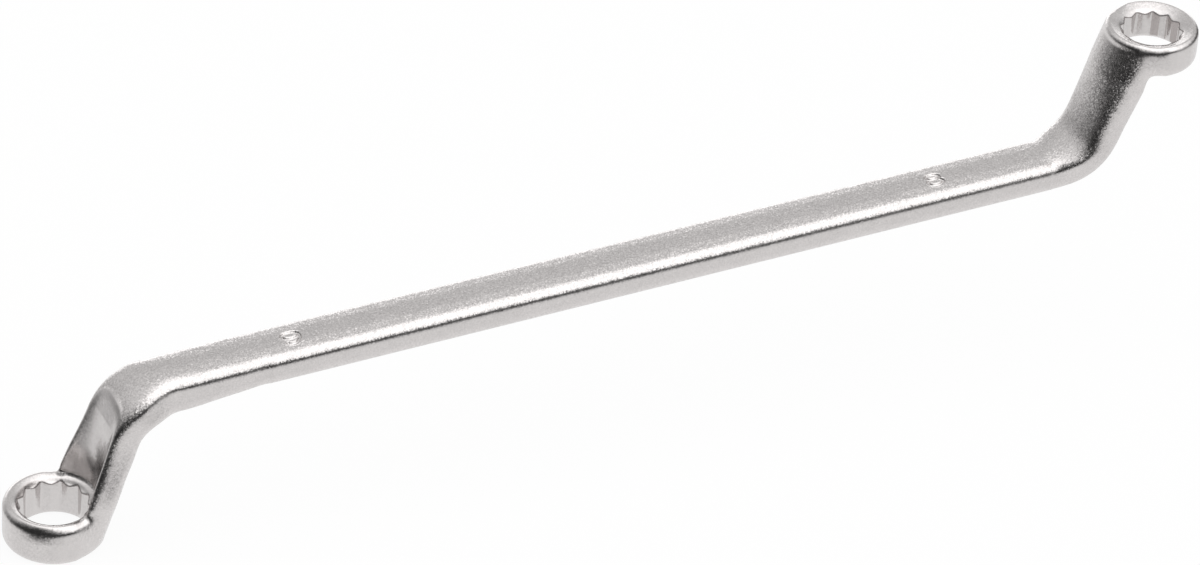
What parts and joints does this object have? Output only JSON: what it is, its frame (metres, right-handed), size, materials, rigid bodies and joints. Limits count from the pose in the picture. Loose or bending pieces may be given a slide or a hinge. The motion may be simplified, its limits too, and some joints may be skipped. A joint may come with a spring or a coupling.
{
  "type": "ring spanner",
  "caption": "Ring spanner with a broached ring at both ends of a cranked forged shank, one facing down and one facing up, for turning hexagon nuts and bolt heads.",
  "frame": {"origin": "centre of the free face of the 9 mm ring, which is the lowest face", "axes": "+Z along both ring axes, +X from the 9 mm ring towards the 8 mm ring, +Y across the shank"},
  "size_m": [0.1847, 0.0146, 0.0488],
  "materials": {
    "chrome": "satin chrome plate with a fine grain, polished on the ring faces"
  },
  "bodies": {
    "root": {"spanner": "chrome"}
  },
  "joints": []
}
